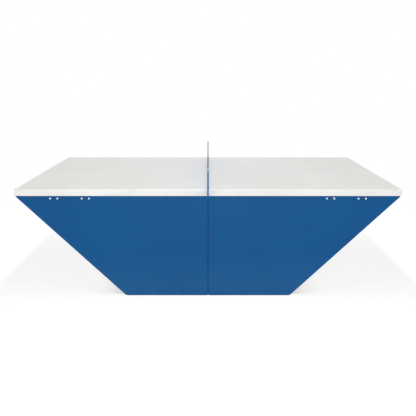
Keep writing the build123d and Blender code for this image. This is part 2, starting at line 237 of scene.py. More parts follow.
def powder_coat(name, edge_distance, shine=0.12, dull=0.36, worn=0.5, extra=None):
    """Worn is how far the rubbed edges pale, and extra adds a piece's own wear and painted highlight."""
    coat = Finish(name, Specular_IOR_Level=shine)
    cloud = coat.span(coat.noise(BLUE_CLOUD_SIZE, 3), 0.3, 0.7)
    patches = coat.span(coat.noise(RUB_PATCH, 4), 0.4, 0.6)
    rubbed = coat.maths("MULTIPLY", coat.span(edge_distance(coat), RUB_STARTS, RUB_FULL), patches)
    # paler and duller towards the floor, in patches
    pale_band = coat.maths("MULTIPLY", coat.span(coat.z, PALE_BAND_HEIGHT, 0.0), coat.noise(PALE_BAND_PATCH, 4))
    blue = coat.shade(cloud, BLUE, BLUE_CLOUD)
    blue = coat.shade(coat.maths("MULTIPLY", pale_band, PALE_BAND_SHARE), blue, PALE_BAND_BLUE)
    blue = coat.shade(coat.maths("MULTIPLY", rubbed, worn), blue, BLUE_RUBBED)
    if extra:
        blue = extra(coat, blue, patches)
    gloss = coat.span(coat.noise(GLOSS_PATCH, 4), 0.3, 0.7, dull, dull + GLOSS_RANGE)
    gloss = coat.maths("ADD", gloss, coat.maths("MULTIPLY", pale_band, PALE_BAND_DULLS))
    coat.relief(coat.noise(PEEL_SIZE, 2), PEEL_DEPTH)
    return coat.paint(blue, gloss)


print("the paler band reaches", PALE_BAND_HEIGHT, "m up")

# %% [markdown]
# ## Where the coat wears, and a painted highlight
# A panel is folded along its sloping end and along its foot, and only the fold itself is rubbed, not the
# flange behind it. A bulkhead wears at its foot. The net is handled most: balls and bats knock its upper
# edge down to the grey primer. Its two upper corners get a painted highlight, a pale blue spot where the
# rounded corners would catch the light. All of these are distances to a line, so no mask has to be painted
# by hand.

# %% Find the panels' folds
FOOT_CORNER_ROUND = 0.04
ON_THE_FLOOR = 0.0005

panel_points = [each.co for each in nodes["panel_front_right"].data.vertices]
foot_corner = max(point.x for point in panel_points if point.z < ON_THE_FLOOR)
slope_angle = math.atan2(panel_top, panel_tip - foot_corner)
slope_run = panel_tip - foot_corner - FOOT_CORNER_ROUND * math.tan(slope_angle / 2)
slope_length = math.hypot(slope_run, panel_top)
print("the slope runs out by", round(slope_run, 4), "m over a length of", round(slope_length, 4), "m")

# %% Distances from worn edges
def from_panel_folds(coat):
    """How far a point is from the folds at a panel's sloping end and at its foot."""
    across = coat.maths("SUBTRACT", coat.maths("ABSOLUTE", coat.x), panel_tip - slope_run)
    rise = coat.maths("MULTIPLY", coat.z, slope_run / slope_length)
    slope = coat.maths("SUBTRACT", rise, coat.maths("MULTIPLY", across, panel_top / slope_length))
    behind = coat.maths("SUBTRACT", -panel_low.y, coat.maths("ABSOLUTE", coat.y))
    return coat.maths("MAXIMUM", coat.maths("MINIMUM", slope, coat.z), behind)


def from_bulkhead_foot(coat):
    return coat.maths("SUBTRACT", coat.z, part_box("bulkhead_right")[0].z)


def from_net_end(coat):
    return coat.maths("SUBTRACT", net_high.y, coat.maths("ABSOLUTE", coat.y))


print("worn edges: panel folds, bulkhead feet and net ends")

# %% Coat the panels, the bulkheads and the net
PRIMER = colour(0.15, 0.16, 0.18)
# a painted highlight: the pale blue spot that the net's rounded upper corners show
CORNER_HIGHLIGHT = colour(0.69, 0.83, 0.95)
KNOCK_STARTS = 0.003  # metres below the net's upper edge
KNOCK_FULL = 0.001
HIGHLIGHT_STARTS = 0.012  # metres from both edges at a corner of the net
HIGHLIGHT_FULL = 0.008
LEAST_WEAR = 0.7  # where the patches leave most of the coat


def rim_wear_and_corner_highlight(coat, blue, patches):
    """The net's marks: primer along its upper edge and a painted highlight at its two upper corners."""
    below_rim = coat.maths("SUBTRACT", net_high.z, coat.z)
    # patches thin out both the worn primer and the painted highlight
    wear = coat.span(patches, 0.0, 1.0, LEAST_WEAR, 1.0)
    knocked = coat.maths("MULTIPLY", coat.span(below_rim, KNOCK_STARTS, KNOCK_FULL), wear)
    from_corner = coat.maths("MAXIMUM", from_net_end(coat), below_rim)
    # the painted highlight at the two upper corners
    corner_highlight = coat.maths("MULTIPLY", coat.span(from_corner, HIGHLIGHT_STARTS, HIGHLIGHT_FULL), wear)
    return coat.shade(corner_highlight, coat.shade(knocked, blue, PRIMER), CORNER_HIGHLIGHT)


panel_coat = powder_coat("blue_powder_coat_panels", from_panel_folds)
# The net's ends turn pale blue in full: partly rubbed paint, partly painted light that brightens the end
# face.
net_coat = powder_coat(
    "blue_powder_coat_net", from_net_end, shine=0.04, dull=0.62, worn=1.0, extra=rim_wear_and_corner_highlight
)
bulkhead_coat = powder_coat("blue_powder_coat_bulkheads", from_bulkhead_foot)
print("made", panel_coat.name, net_coat.name, bulkhead_coat.name)

# %% [markdown]
# ## Zinc
# The cross beams and the floor ties are hot-dip galvanised. As the zinc sets it grows into flat crystals,
# each of which catches the light at its own angle: the spangle. A Voronoi texture divides space into cells
# in just that way, and its random colour gives each cell a tone and a roughness of its own.

# %% Make the zinc
SPANGLE = 0.014
SPANGLE_DEPTH = 0.00002
WHITE_RUST_PATCH = 0.09

zinc = Finish("zinc_spangle", Metallic=1.0)
cells = zinc.node("ShaderNodeTexVoronoi", Vector=zinc.place, Scale=1 / SPANGLE)
crystal = zinc.node("ShaderNodeSeparateColor", Color=cells.outputs["Color"]).outputs
white_rust = zinc.span(zinc.noise(WHITE_RUST_PATCH, 4), 0.55, 0.75)
grey = zinc.shade(crystal[0], colour(0.40, 0.42, 0.44), colour(0.60, 0.62, 0.63))
grey = zinc.shade(zinc.maths("MULTIPLY", white_rust, 0.35), grey, colour(0.58, 0.59, 0.58))
dull = zinc.span(crystal[1], 0.0, 1.0, 0.34, 0.50)
dull = zinc.maths("ADD", dull, zinc.maths("MULTIPLY", white_rust, 0.15))
zinc.relief(crystal[2], SPANGLE_DEPTH)
zinc.paint(grey, dull)
print("made", zinc.material.name)

# %% [markdown]
# ## Stainless steel and brass
# The screws, nuts and washers are plain stainless steel, and the inserts in the core boards are brass. At
# this size the eye reads them by their reflections, so the colour stays nearly even. One roughness all over
# would look like foil close up, so it carries fine machining marks, and a little dirt settles in patches.
# Both metals are the same recipe in two colours, so one function makes them.

# %% Make the metals
STAIN_SIZE = 0.006
MARK_SIZE = 0.0008
TOOL_RIPPLE = 0.0012
TOOL_RIPPLE_DEPTH = 0.00001


def machined(name, bright, stained, polish):
    """Polish is the roughness of the smoothest spots."""
    metal = Finish(name, Metallic=1.0)
    stain = metal.span(metal.noise(STAIN_SIZE, 4), 0.5, 0.8)
    marks = metal.span(metal.noise(MARK_SIZE, 2), 0.3, 0.7, polish, polish + 0.14)
    metal.relief(metal.noise(TOOL_RIPPLE, 2), TOOL_RIPPLE_DEPTH)
    tone = metal.shade(metal.maths("MULTIPLY", stain, 0.6), bright, stained)
    metal.paint(tone, metal.maths("ADD", marks, metal.maths("MULTIPLY", stain, 0.15)))
    return metal


stainless = machined("stainless_steel", colour(0.80, 0.80, 0.79), colour(0.62, 0.61, 0.59), 0.22)
brass = machined("brass", colour(0.74, 0.55, 0.23), colour(0.42, 0.29, 0.12), 0.28)
print("made", stainless.material.name, brass.material.name)

# %% [markdown]
# ## Rubber, nylon and plywood
# The bedding strips, pads and gaskets are black EPDM rubber, matt, with a grey bloom. The bushes under the
# net are natural nylon, slightly waxy. The core boards are sealed plywood: seen from below they show the
# grain of the last veneer, and their edges show the plies. Wood often comes from a picture, but noise that
# is drawn out along the table gives the same streaks and never repeats.

# %% Make the rubber
BLOOM_PATCH = 0.03
RUBBER_GRAIN = 0.0015
RUBBER_GRAIN_DEPTH = 0.00008
BLACK = colour(0.014, 0.014, 0.015)
BLOOM = colour(0.032, 0.032, 0.033)

rubber = Finish("black_rubber", Specular_IOR_Level=0.35)
bloomed = rubber.span(rubber.noise(BLOOM_PATCH, 4), 0.4, 0.75)
rubber.relief(rubber.noise(RUBBER_GRAIN, 2), RUBBER_GRAIN_DEPTH)
rubber.paint(rubber.shade(bloomed, BLACK, BLOOM), rubber.span(bloomed, 0.0, 1.0, 0.68, 0.82))
print("made", rubber.material.name)

# %% Make the nylon
WAX_PATCH = 0.004
NYLON_GRAIN = 0.0007
NYLON_GRAIN_DEPTH = 0.00002
IVORY = colour(0.66, 0.64, 0.57)
IVORY_PALE = colour(0.74, 0.72, 0.66)

nylon = Finish("natural_nylon", Subsurface_Weight=0.15, Subsurface_Scale=0.004)
waxy = nylon.span(nylon.noise(WAX_PATCH, 3), 0.3, 0.7)
nylon.relief(nylon.noise(NYLON_GRAIN, 2), NYLON_GRAIN_DEPTH)
nylon.paint(nylon.shade(waxy, IVORY, IVORY_PALE), nylon.span(waxy, 0.0, 1.0, 0.38, 0.5))
print("made", nylon.material.name)

# %% Make the plywood
PLY = 0.004
FIBRE_SIZE = 0.006
FIBRE_STRETCH = (60, 1, 1)
FIBRE_DEPTH = 0.0001
FIGURE_SIZE = 0.05
FIGURE_STRETCH = (8, 1, 1)

plywood = Finish("sealed_plywood", Specular_IOR_Level=0.4)
grain = plywood.span(plywood.noise(FIBRE_SIZE, 5, FIBRE_STRETCH), 0.3, 0.7)
figure = plywood.span(plywood.noise(FIGURE_SIZE, 3, FIGURE_STRETCH), 0.35, 0.65)
ply = plywood.maths("PINGPONG", plywood.maths("DIVIDE", plywood.z, PLY), 1.0)
wood = plywood.shade(grain, colour(0.40, 0.27, 0.14), colour(0.56, 0.41, 0.24))
wood = plywood.shade(plywood.maths("MULTIPLY", figure, 0.4), wood, colour(0.50, 0.34, 0.18))
wood = plywood.shade(plywood.span(ply, 0.5, 0.6, 0.0, 0.25), wood, colour(0.30, 0.19, 0.10))
plywood.relief(grain, FIBRE_DEPTH)
plywood.paint(wood, plywood.span(grain, 0.0, 1.0, 0.5, 0.62))
print("made", plywood.material.name)

# %% [markdown]
# ## Dress the CAD nodes
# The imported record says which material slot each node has. Assigning by hand would mean a line for each of
# more than fifty nodes. A dictionary from slot to finish does it in one loop, and the bulkheads and the net
# get the powder coat that knows their own edges.

# %% Assign the finishes
finish_of_slot = {
    "white_gelcoat": gelcoat.material,
    "core_board": plywood.material,
    "blue_paint": panel_coat,
    "galvanised": zinc.material,
    "stainless": stainless.material,
    "black_rubber": rubber.material,
    "bush_nylon": nylon.material,
    "insert_brass": brass.material,
}
own_coat = {"net_plate": net_coat, "bulkhead_left": bulkhead_coat, "bulkhead_right": bulkhead_coat}
slot_of = {row["node"]: row["material_slot"] for row in frame["record"]["subparts"]}
finish_of = {name: own_coat.get(name, finish_of_slot[slot]) for name, slot in slot_of.items()}
for name, finish in finish_of.items():
    for slot in nodes[name].material_slots:
        slot.material = finish
print("dressed", len(finish_of), "nodes")

# %% [markdown]
# ## Turned shapes
# A screw, a nut, a washer and an insert are all made on a lathe or look as if they were, so one function
# makes them all: a stack of rings round the Z axis, joined by faces. A Screw modifier can turn a profile,
# but it gives round rings only. Here a ring says its radius and its height for every angle, so the same
# stack also holds a six-sided head, its cone-shaped chamfer, and a thread that climbs as it goes round.

# %% Turn a mesh from rings
SIDES = 18  # a multiple of six, so that the corners of a hexagon fall on it
SHARP = math.radians(28)


def turned(name, rings, hollow=False):
    """A closed mesh from rings, with a cap at each end. A hollow one joins its last ring to its first."""
    shape = bmesh.new()
    rows = []
    for ring_at in rings:
        row = []
        for side in range(SIDES):
            angle = math.tau * side / SIDES
            radius, height = ring_at(angle)
            row.append(shape.verts.new((radius * math.cos(angle), radius * math.sin(angle), height)))
        rows.append(row)
    pairs = list(zip(rows, rows[1:]))
    if hollow:
        pairs.append((rows[-1], rows[0]))
    else:
        shape.faces.new(rows[0])
        shape.faces.new(rows[-1])
    for first, second in pairs:
        for side in range(SIDES):
            after = (side + 1) % SIDES
            shape.faces.new((first[side], first[after], second[after], second[side]))
    bmesh.ops.recalc_face_normals(shape, faces=shape.faces)
    for face in shape.faces:
        face.smooth = True
    for edge in shape.edges:
        edge.smooth = edge.calc_face_angle() < SHARP
    mesh = bpy.data.meshes.new(name)
    shape.to_mesh(mesh)
    shape.free()
    return bpy.data.objects.new(name, mesh)


def ring(radius, height):
    return lambda angle: (radius, height)


print("lathe ready, with", SIDES, "sides")

# %% [markdown]
# ## Hexagons and threads
# The side of a hexagon is nearest to its middle half way between two corners, and the distance grows with
# one over the cosine of the angle from there. The chamfer on a nut is a cone, so the further out a point
# is, the more it cuts. A thread could be swept along a spiral, but its ends are then hard to close. A ring
# whose radius depends on height and angle together makes the same ridge, and the ends are plain rings.

# %% Ring shapes for fasteners
THREAD_PITCH = 0.00125
THREAD_DEPTH = 0.00065
RINGS_PER_TURN = 4
CONE_FLAT = 0.95  # the flat of a nut, as a share of its width
CONE_SLOPE = math.tan(math.radians(30))


def hexagon(across, height, chamfer=0):
    """A six-sided ring. A chamfer of 1 moves its corners up, and of -1 down."""

    def ring_at(angle):
        sixth = math.tau / 6
        reach = across / 2 / math.cos(angle % sixth - sixth / 2)
        return reach, height + chamfer * (reach - CONE_FLAT * across / 2) * CONE_SLOPE

    return ring_at


def thread(crest, start, end):
    """The rings of a thread between two heights."""
    root = crest - THREAD_DEPTH
    count = round((end - start) / THREAD_PITCH * RINGS_PER_TURN)

    def ridge(height):
        def ring_at(angle):
            phase = (height / THREAD_PITCH - angle / math.tau) % 1
            return root + THREAD_DEPTH * abs(2 * phase - 1), height

        return ring_at

    return [ridge(start + (end - start) * (index + 0.5) / count) for index in range(count)]


print("a turn of the thread has", RINGS_PER_TURN * SIDES, "faces")

# %% [markdown]
# ## Where the fasteners sit
# Each CAD node of fasteners holds several loose solids. Their places could be typed in again, but then
# they could drift from the CAD. Instead a copy of the node's mesh is merged, so that its triangles join
# up, and then each island of joined faces gives one box. The end of the box where the head is, and the
# way that the shank points, are all that a fastener needs.

# %% Find the places of fasteners
MERGE = 1e-6
X, Y, Z = range(3)


def islands(node):
    """The lowest and highest corner of each loose solid in a CAD node."""
    shape = bmesh.new()
    shape.from_mesh(nodes[node].data)
    bmesh.ops.remove_doubles(shape, verts=shape.verts, dist=MERGE)
    left = set(shape.verts)
    boxes = []
    while left:
        waiting = [left.pop()]
        low, high = waiting[0].co.copy(), waiting[0].co.copy()
        while waiting:
            point = waiting.pop()
            low = Vector(map(min, low, point.co))
            high = Vector(map(max, high, point.co))
            for edge in point.link_edges:
                other = edge.other_vert(point)
                if other in left:
                    left.remove(other)
                    waiting.append(other)
        boxes.append((low, high))
    shape.free()
    return sorted(boxes, key=lambda box: tuple(round(value, 4) for value in box[0]))


def places(node, axis, inward=False):
    """Where each fastener starts and which way it points: along an axis, or inward to the table's middle."""
    found = []
    for low, high in islands(node):
        start, way = (low + high) / 2, Vector((0, 0, 0))
        points_back = inward and start[axis] > 0
        start[axis] = high[axis] if points_back else low[axis]
        way[axis] = -1 if points_back else 1
        found.append((start, way))
    return found


def length_of(node, axis):
    low, high = islands(node)[0]
    return high[axis] - low[axis]


print("panel bolts in the left half:", len(places("panel_bolts_left", Y, True)))

# %% [markdown]
# ## One screw, nut, washer, stud and insert
# These are the ordinary M8 sizes. Each is turned once, standing on the origin and pointing up Z, and is
# placed many times later. The button head has a hexagon socket, and the threaded ends are chamfered so
# that a nut can start.

# %% Sizes of the fasteners
BOLT = 0.008
HEX_ACROSS = 1.625 * BOLT
HEX_HEAD = 0.66 * BOLT
NUT_HEIGHT = 0.8 * BOLT
NUT_CLEARANCE = 0.00015
NUT_BORE = BOLT / 2 + NUT_CLEARANCE
WASHER_DIAMETER = 2 * BOLT
WASHER_THICK = 0.0016
WASHER_CLEARANCE = 0.0005
WASHER_BORE = BOLT / 2 + WASHER_CLEARANCE
BUTTON_DIAMETER = 1.75 * BOLT
BUTTON_HEIGHT = 0.55 * BOLT
BUTTON_ROUND = 0.45 * BOLT
SOCKET_ACROSS = 0.625 * BOLT
SOCKET_DEPTH = 0.32 * BOLT
EASE = 0.0003  # taken off a machined corner
TIP_EASE = 0.0012  # taken off the end of a thread
DOME_STEPS = 5
BARB_DEPTH = 0.0006
BARB_PITCH = 0.0048  # about, because a whole number of barbs has to fit
print("thread M8, head", round(HEX_ACROSS * 1000, 1), "mm across")

# %% Turn the screws
def shank(start, end):
    """A threaded shank up to its chamfered tip."""
    tip = end - THREAD_DEPTH
    chamfer = [ring(BOLT / 2 - THREAD_DEPTH, tip), ring(BOLT / 2 - TIP_EASE, end)]
    return thread(BOLT / 2, start, tip) + chamfer


def hex_screw(length):
    flat = CONE_FLAT * HEX_ACROSS / 2
    head = [ring(flat, 0), hexagon(HEX_ACROSS, 0, 1), hexagon(HEX_ACROSS, HEX_HEAD - EASE)]
    neck = [ring(flat, HEX_HEAD), ring(BOLT / 2, HEX_HEAD)]
    return turned("hex_screw", head + neck + shank(HEX_HEAD + EASE, length))


def button_screw(length):
    edge = BUTTON_DIAMETER / 2
    socket = [hexagon(SOCKET_ACROSS, SOCKET_DEPTH), hexagon(SOCKET_ACROSS, EASE)]
    socket.append(hexagon(SOCKET_ACROSS + EASE, 0))
    dome = []
    for step in range(DOME_STEPS + 1):
        angle = math.pi / 2 * step / DOME_STEPS
        dome.append(ring(edge - BUTTON_ROUND * (1 - math.sin(angle)), BUTTON_ROUND * (1 - math.cos(angle))))
    neck = [ring(edge, BUTTON_HEIGHT), ring(BOLT / 2, BUTTON_HEIGHT)]
    return turned("button_screw", socket + dome + neck + shank(BUTTON_HEIGHT + EASE, length))


def stud(length):
    return turned("stud", [ring(BOLT / 2, 0)] + shank(EASE, length))


print("panel bolts of", round(length_of("panel_bolts_left", Y) * 1000, 1), "mm")
print("seam bolts of", round(length_of("seam_bolts", X) * 1000, 1), "mm")

# %% Turn the nut, the washer and the insert
def hex_nut():
    flat = CONE_FLAT * HEX_ACROSS / 2
    below = [ring(NUT_BORE + EASE, 0), ring(flat, 0), hexagon(HEX_ACROSS, 0, 1)]
    above = [hexagon(HEX_ACROSS, NUT_HEIGHT, -1), ring(flat, NUT_HEIGHT), ring(NUT_BORE + EASE, NUT_HEIGHT)]
    bore = [ring(NUT_BORE, NUT_HEIGHT - EASE), ring(NUT_BORE, EASE)]
    return turned("hex_nut", below + above + bore, hollow=True)


def eased_tube(name, bore, outside, length):
    """A tube with its four corners eased."""
    lower = [ring(bore, EASE), ring(bore + EASE, 0), ring(outside - EASE, 0), ring(outside, EASE)]
    corners = [ring_at(0) for ring_at in reversed(lower)]
    upper = [ring(radius, length - height) for radius, height in corners]
    return turned(name, lower + upper, hollow=True)


def flat_washer():
    return eased_tube("flat_washer", WASHER_BORE, WASHER_DIAMETER / 2, WASHER_THICK)


def threaded_insert(outside, length):
    """A brass sleeve with barbs that bite into the board."""
    count = round(length / BARB_PITCH)
    pitch = length / count
    barbs = []
    for index in range(count):
        barbs.append(ring(outside - BARB_DEPTH, pitch * (index + 0.1)))
        barbs.append(ring(outside, pitch * (index + 0.9)))
    bore = [ring(NUT_BORE, length - EASE), ring(NUT_BORE, EASE)]
    ends = [ring(NUT_BORE + EASE, 0)] + barbs + [ring(outside - EASE, length), ring(NUT_BORE + EASE, length)]
    return turned("threaded_insert", ends + bore, hollow=True)


print("nut, washer and insert ready")

# %% [markdown]
# ## Set the fasteners with Geometry Nodes
# The table is held by 166 screws, nuts, washers, studs and inserts, and each could be a copied object.
# Geometry Nodes keep one shape and set it at every place: the places are the points of a small mesh, and
# each point carries the way its fastener points. Nobody stops a spanner at the same angle twice, so each
# one also turns by its own random angle, from a fixed seed. The tree ends in Realize Instances and Set
# Material, so that the export gets real faces.

# %% Build the tree that sets fasteners
def new_tree(name, inputs):
    """An empty Geometry Nodes tree with named inputs and one geometry output."""
    tree = bpy.data.node_groups.new(name, "GeometryNodeTree")
    tree.interface.new_socket("Geometry", in_out="INPUT", socket_type="NodeSocketGeometry")
    for label, kind in inputs.items():
        tree.interface.new_socket(label, in_out="INPUT", socket_type="NodeSocket" + kind)
    tree.interface.new_socket("Geometry", in_out="OUTPUT", socket_type="NodeSocketGeometry")
    graph = Graph(tree)
    sockets = {each.name: each for each in graph.node("NodeGroupInput").outputs}
    return graph, sockets


def end_tree(graph, geometry, finish):
    real = graph.node("GeometryNodeRealizeInstances", Geometry=geometry).outputs[0]
    dressed = graph.node("GeometryNodeSetMaterial", Geometry=real, Material=finish).outputs[0]
    graph.node("NodeGroupOutput", Geometry=dressed)


setter, given = new_tree(
    "set_fasteners",
    {"Fastener": "Object", "Size": "Float", "Turn": "Float", "Seed": "Int", "Finish": "Material"},
)
way = setter.node("GeometryNodeInputNamedAttribute", {"data_type": "FLOAT_VECTOR"}, Name="way").outputs[0]
facing = setter.node("FunctionNodeAlignRotationToVector", {"axis": "Z"}, Vector=way).outputs[0]
spin = setter.node(
    "FunctionNodeRandomValue", {"data_type": "FLOAT"}, Min=0.0, Max=given["Turn"], Seed=given["Seed"]
)
spin_angle = next(each for each in spin.outputs if each.enabled)
spun = setter.node("FunctionNodeAxisAngleToRotation", Axis=(0, 0, 1), Angle=spin_angle).outputs[0]
turned_way = setter.node(
    "FunctionNodeRotateRotation", {"rotation_space": "LOCAL"}, Rotation=facing, Rotate_By=spun
).outputs[0]
shape = setter.node("GeometryNodeObjectInfo", Object=given["Fastener"]).outputs["Geometry"]
set_down = setter.node(
    "GeometryNodeInstanceOnPoints",
    Points=given["Geometry"],
    Instance=shape,
    Rotation=turned_way,
    Scale=given["Size"],
)
end_tree(setter, set_down.outputs[0], given["Finish"])
print("tree", setter.tree.name, "has", len(setter.tree.nodes), "nodes")

# %% Helpers that run a tree and keep its mesh
def run_tree(piece, tree, values):
    """Puts a tree on an object, with its inputs set by identifier."""
    modifier = piece.modifiers.new(tree.name, "NODES")
    modifier.node_group = tree
    for item in tree.interface.items_tree:
        if item.in_out == "INPUT" and item.name in values:
            modifier[item.identifier] = values[item.name]


def keep_result(piece):
    """Swaps an object's mesh for what its modifiers make of it, and removes them."""
    bpy.context.view_layer.update()
    evaluated = piece.evaluated_get(bpy.context.evaluated_depsgraph_get())
    mesh = bpy.data.meshes.new_from_object(evaluated)
    piece.modifiers.clear()
    piece.data = mesh
    mesh.name = piece.name


def stand_in_for(piece, node, body):
    """Makes a finished piece take a CAD node's place."""
    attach(piece, body)
    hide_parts(node)


def set_fasteners(node, fastener, found):
    """One piece with a fastener at every place of a CAD node."""
    mesh = bpy.data.meshes.new(node)
    mesh.from_pydata([start for start, _ in found], [], [])
    ways = mesh.attributes.new("way", "FLOAT_VECTOR", "POINT")
    ways.data.foreach_set("vector", [value for _, way in found for value in way])
    piece = bpy.data.objects.new(node + "_detailed", mesh)
    bpy.context.scene.collection.objects.link(piece)
    seed = sorted(slot_of).index(node)
    values = {"Fastener": fastener, "Size": 1.0, "Turn": math.tau, "Seed": seed, "Finish": finish_of[node]}
    run_tree(piece, setter.tree, values)
    keep_result(piece)
    stand_in_for(piece, node, "table")
    bpy.data.objects.remove(fastener)
    print(node, "has", len(found), "and", len(piece.data.polygons), "faces")


print("helpers ready for tree", setter.tree.name)

# %% Set the fasteners of both halves
for half in ("left", "right"):
    bolts, studs = "panel_bolts_" + half, "tie_studs_" + half
    screws, inserts = "top_screws_" + half, "top_inserts_" + half
    set_fasteners(bolts, button_screw(length_of(bolts, Y)), places(bolts, Y, True))
    set_fasteners(studs, stud(length_of(studs, Y)), places(studs, Y, True))
    set_fasteners(screws, hex_screw(length_of(screws, Z)), places(screws, Z))
    sleeve = threaded_insert(length_of(inserts, X) / 2, length_of(inserts, Z))
    set_fasteners(inserts, sleeve, places(inserts, Z))
    set_fasteners("top_washers_" + half, flat_washer(), places("top_washers_" + half, Z))
    for joint in ("panel", "tie"):
        nuts, washers = f"{joint}_nuts_{half}", f"{joint}_washers_{half}"
        set_fasteners(nuts, hex_nut(), places(nuts, Y, True))
        set_fasteners(washers, flat_washer(), places(washers, Y, True))

# %% Set the fasteners between the halves
for joint in ("seam", "net"):
    bolts, nuts, washers = joint + "_bolts", joint + "_nuts", joint + "_washers"
    set_fasteners(bolts, hex_screw(length_of(bolts, X)), places(bolts, X))
    set_fasteners(nuts, hex_nut(), places(nuts, X))
    set_fasteners(washers, flat_washer(), places(washers, X))

# %% [markdown]
# ## The pierced net
# The net is a steel plate with three rows of punched holes, each row moved along by half a pitch. Holes can
# be cut with Booleans, but a hundred of them are slow and leave ragged faces. A curve that is filled treats
# inner loops as holes, so here the outline and a circle at every hole are filled at once. The tree makes
# the flat shape, and two ordinary modifiers give it its thickness and the rounded rims that hold paint.

# %% Build the tree of the pierced plate
plate, given = new_tree(
    "pierced_plate",
    {
        "Length": "Float",
        "Low edge": "Float",
        "High edge": "Float",
        "Foot radius": "Float",
        "Corner radius": "Float",
        "Corner steps": "Int",
        "Hole radius": "Float",
        "Hole sides": "Int",
        "Pitch": "Float",
        "Columns": "Int",
        "Rows": "Int",
        "Lowest row": "Float",
        "Row gap": "Float",
        "Finish": "Material",
    },
)
height = plate.maths("SUBTRACT", given["High edge"], given["Low edge"])
middle = plate.maths("MULTIPLY", plate.maths("ADD", given["High edge"], given["Low edge"]), 0.5)
sheet = plate.node("GeometryNodeCurvePrimitiveQuadrilateral", Width=given["Length"], Height=height)
place = plate.node("GeometryNodeInputPosition").outputs[0]
place_x, place_y, _ = plate.node("ShaderNodeSeparateXYZ", Vector=place).outputs
is_high = plate.maths("GREATER_THAN", place_y, 0.0)
more = plate.maths("SUBTRACT", given["Corner radius"], given["Foot radius"])
radius = plate.maths("ADD", given["Foot radius"], plate.maths("MULTIPLY", is_high, more))
outline = plate.node(
    "GeometryNodeFilletCurve",
    {"mode": "POLY"},
    Curve=sheet.outputs[0],
    Count=given["Corner steps"],
    Radius=radius,
).outputs[0]
lift = plate.node("ShaderNodeCombineXYZ", Y=middle).outputs[0]
outline = plate.node("GeometryNodeTransform", Geometry=outline, Translation=lift).outputs[0]
print("outline ready")

# %% Add the holes and fill the plate
wide = plate.maths("MULTIPLY", plate.maths("SUBTRACT", given["Columns"], 1.0), given["Pitch"])
tall = plate.maths("MULTIPLY", plate.maths("SUBTRACT", given["Rows"], 1.0), given["Row gap"])
grid = plate.node(
    "GeometryNodeMeshGrid", Size_X=wide, Size_Y=tall, Vertices_X=given["Columns"], Vertices_Y=given["Rows"]
).outputs[0]
row = plate.maths("DIVIDE", plate.maths("ADD", place_y, plate.maths("MULTIPLY", tall, 0.5)), given["Row gap"])
is_odd = plate.maths("MODULO", plate.maths("ROUND", row), 2.0)
half_pitch = plate.maths("MULTIPLY", is_odd, plate.maths("MULTIPLY", given["Pitch"], 0.5))
raise_by = plate.maths("ADD", given["Lowest row"], plate.maths("MULTIPLY", tall, 0.5))
move = plate.node("ShaderNodeCombineXYZ", X=half_pitch, Y=raise_by).outputs[0]
grid = plate.node("GeometryNodeSetPosition", Geometry=grid, Offset=move).outputs[0]
last = plate.maths("MULTIPLY", plate.maths("ADD", wide, plate.maths("MULTIPLY", given["Pitch"], 0.5)), 0.5)
is_spare = plate.maths("GREATER_THAN", place_x, last)
grid = plate.node("GeometryNodeDeleteGeometry", Geometry=grid, Selection=is_spare).outputs[0]
circle = plate.node(
    "GeometryNodeCurvePrimitiveCircle", Resolution=given["Hole sides"], Radius=given["Hole radius"]
).outputs[0]
circles = plate.node("GeometryNodeInstanceOnPoints", Points=grid, Instance=circle).outputs[0]
circles = plate.node("GeometryNodeRealizeInstances", Geometry=circles).outputs[0]
join = plate.node("GeometryNodeJoinGeometry")
plate.feed(join.inputs[0], circles)
plate.feed(join.inputs[0], outline)
filled = plate.node("GeometryNodeFillCurve", {"mode": "TRIANGLES"}, Curve=join.outputs[0]).outputs[0]
upright = (math.pi / 2, 0, math.pi / 2)
filled = plate.node("GeometryNodeTransform", Geometry=filled, Rotation=upright).outputs[0]
end_tree(plate, filled, given["Finish"])
print("tree", plate.tree.name, "has", len(plate.tree.nodes), "nodes")

# %% Make the net
NET_HOLE = 0.022
NET_HOLE_PITCH = 0.044
NET_HOLE_ROWS = 3
NET_HOLE_MARGIN = 0.024
NET_CORNER_RADIUS = 0.01
NET_FOOT_RADIUS = 0.005
NET_CORNER_STEPS = 8
NET_HOLE_SIDES = 28
NET_RIM = 0.0008
NET_RIM_STEPS = 3
RIM_ANGLE = math.radians(60)  # only edges sharper than this are rounded
FLAT_FACE = 0.999  # a face that looks this squarely along the net's thickness stays flat

net_thick = net_high.x - net_low.x
lowest_row = playing_height + NET_HOLE_MARGIN + NET_HOLE / 2
highest_row = net_high.z - NET_HOLE_MARGIN - NET_HOLE / 2
holes_each_way = int((table_side - NET_HOLE_PITCH) / NET_HOLE_PITCH)
net = bpy.data.objects.new("net_pierced", bpy.data.meshes.new("net_pierced"))
bpy.context.scene.collection.objects.link(net)
run_tree(
    net,
    plate.tree,
    {
        "Length": net_high.y - net_low.y,
        "Low edge": net_low.z,
        "High edge": net_high.z,
        "Foot radius": NET_FOOT_RADIUS,
        "Corner radius": NET_CORNER_RADIUS,
        "Corner steps": NET_CORNER_STEPS,
        "Hole radius": NET_HOLE / 2,
        "Hole sides": NET_HOLE_SIDES,
        "Pitch": NET_HOLE_PITCH,
        "Columns": 2 * holes_each_way + 1,
        "Rows": NET_HOLE_ROWS,
        "Lowest row": lowest_row,
        "Row gap": (highest_row - lowest_row) / (NET_HOLE_ROWS - 1),
        "Finish": net_coat,
    },
)
thicken = net.modifiers.new("thickness", "SOLIDIFY")
thicken.thickness = net_thick
thicken.offset = 0
rims = net.modifiers.new("rims", "BEVEL")
rims.width = NET_RIM
rims.segments = NET_RIM_STEPS
rims.limit_method = "ANGLE"
rims.angle_limit = RIM_ANGLE
keep_result(net)
for face in net.data.polygons:
    face.use_smooth = abs(face.normal.x) < FLAT_FACE
stand_in_for(net, "net_plate", "net")
print("net of", len(net.data.polygons), "faces")

